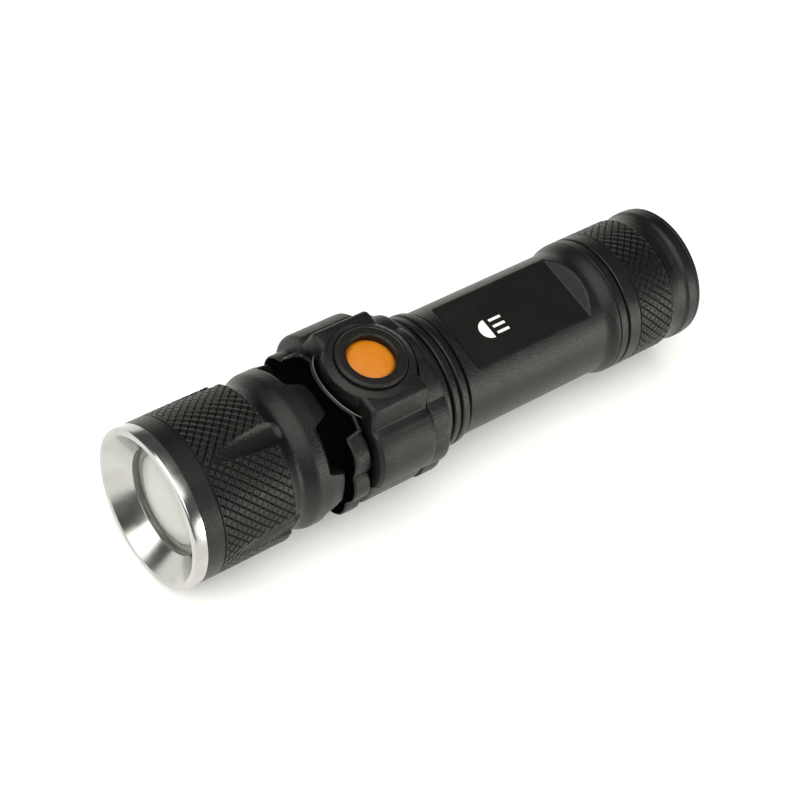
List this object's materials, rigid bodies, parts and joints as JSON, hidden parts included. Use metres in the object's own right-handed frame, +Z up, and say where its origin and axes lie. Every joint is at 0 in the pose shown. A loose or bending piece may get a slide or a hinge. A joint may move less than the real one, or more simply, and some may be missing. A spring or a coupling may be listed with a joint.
{
  "type": "tactical flashlight",
  "caption": "Hand-held zoom flashlight: sliding knurled head, side button in a hexagonal collar, battery tube and screw-on tail cap.",
  "frame": {"origin": "below the middle of the torch, on the surface that it lies on", "axes": "+Y along the torch from lens to tail, +Z up through the button's side, +X across"},
  "size_m": [0.0366, 0.13, 0.0372],
  "materials": {
    "black_anodised": "satin black anodised",
    "bright_aluminium": "bright turned, clear anodised",
    "lens_glass": "clear moulded lens",
    "seal_rubber": "matte black rubber",
    "collar_black": "fine satin texture, soft-touch plastic",
    "button_orange": "translucent orange, smooth",
    "spring_steel": "bright",
    "pill_brass": "turned",
    "board_white": "white solder mask",
    "led_phosphor": "yellow phosphor",
    "led_silicone": "clear silicone dome",
    "lead_insulation": "red silicone insulation",
    "board_green": "green solder mask",
    "chip_black": "black epoxy",
    "spring_gold": "gold plated",
    "flex_film": "amber film",
    "cell_wrap": "blue heat-shrink wrap"
  },
  "bodies": {
    "barrel": {"front_barrel": "black_anodised", "zoom_seal": "seal_rubber", "stop_clip": "spring_steel", "led_pill": "pill_brass", "led_board": "board_white", "led_emitter": "led_phosphor", "led_dome": "led_silicone", "led_leads": "lead_insulation", "driver_board": "board_green", "driver_parts": "chip_black", "front_spring": "spring_gold", "switch_collar": "collar_black", "trim_ring": "collar_black", "switch_board": "board_green", "tact_switch": "chip_black", "switch_flex": "flex_film"},
    "lens_carrier": {"lens": "lens_glass", "lens_seal": "seal_rubber"},
    "head": {"head_sleeve": "black_anodised", "bezel_ring": "bright_aluminium"},
    "button": {"button_cap": "button_orange"},
    "plunger": {"tact_plunger": "chip_black"},
    "cell": {"battery_cell": "cell_wrap", "battery_terminal": "spring_steel", "terminal_washer": "board_white"},
    "tube": {"tail_tube": "black_anodised", "tube_seal": "seal_rubber", "tail_seal": "seal_rubber"},
    "tail_contact": {"tail_board": "board_green", "tail_contact_ring": "pill_brass", "tail_spring": "spring_gold"},
    "cap": {"tail_cap": "black_anodised"}
  },
  "joints": [
    {"name": "zoom_slide", "type": "slide", "parent": "barrel", "child": "lens_carrier", "axis": [0, -1, 0], "range_m": [0, 0.008]},
    {"name": "head_turn", "type": "hinge", "parent": "lens_carrier", "child": "head", "pos_m": [0, 0, 0.0174], "axis": [0, 1, 0], "continuous": true},
    {"name": "button_press", "type": "slide", "parent": "barrel", "child": "button", "axis": [0, 0, -1], "range_m": [0, 0.0006], "stiffness_N_per_m": 3000, "springref_m": -0.0002},
    {"name": "plunger_press", "type": "slide", "parent": "barrel", "child": "plunger", "axis": [0, 0, -1], "range_m": [0, 0.0003]},
    {"name": "tube_lead", "type": "slide", "parent": "barrel", "child": "cell", "axis": [0, 1, 0], "range_m": [0, 0.007]},
    {"name": "tube_unscrew", "type": "hinge", "parent": "cell", "child": "tube", "pos_m": [0, 0, 0.0174], "axis": [0, 1, 0], "range_deg": [0, 2520]},
    {"name": "cap_lead", "type": "slide", "parent": "tube", "child": "tail_contact", "axis": [0, 1, 0], "range_m": [0, 0.006]},
    {"name": "cap_unscrew", "type": "hinge", "parent": "tail_contact", "child": "cap", "pos_m": [0, 0, 0.0174], "axis": [0, 1, 0], "range_deg": [0, 2160]}
  ],
  "couplings": [
    {"joint": "plunger_press", "follows": "button_press", "ratio": 0.5},
    {"joint": "tube_lead", "follows": "tube_unscrew", "m_per_rad": 0.000159},
    {"joint": "cap_lead", "follows": "cap_unscrew", "m_per_rad": 0.000159}
  ]
}
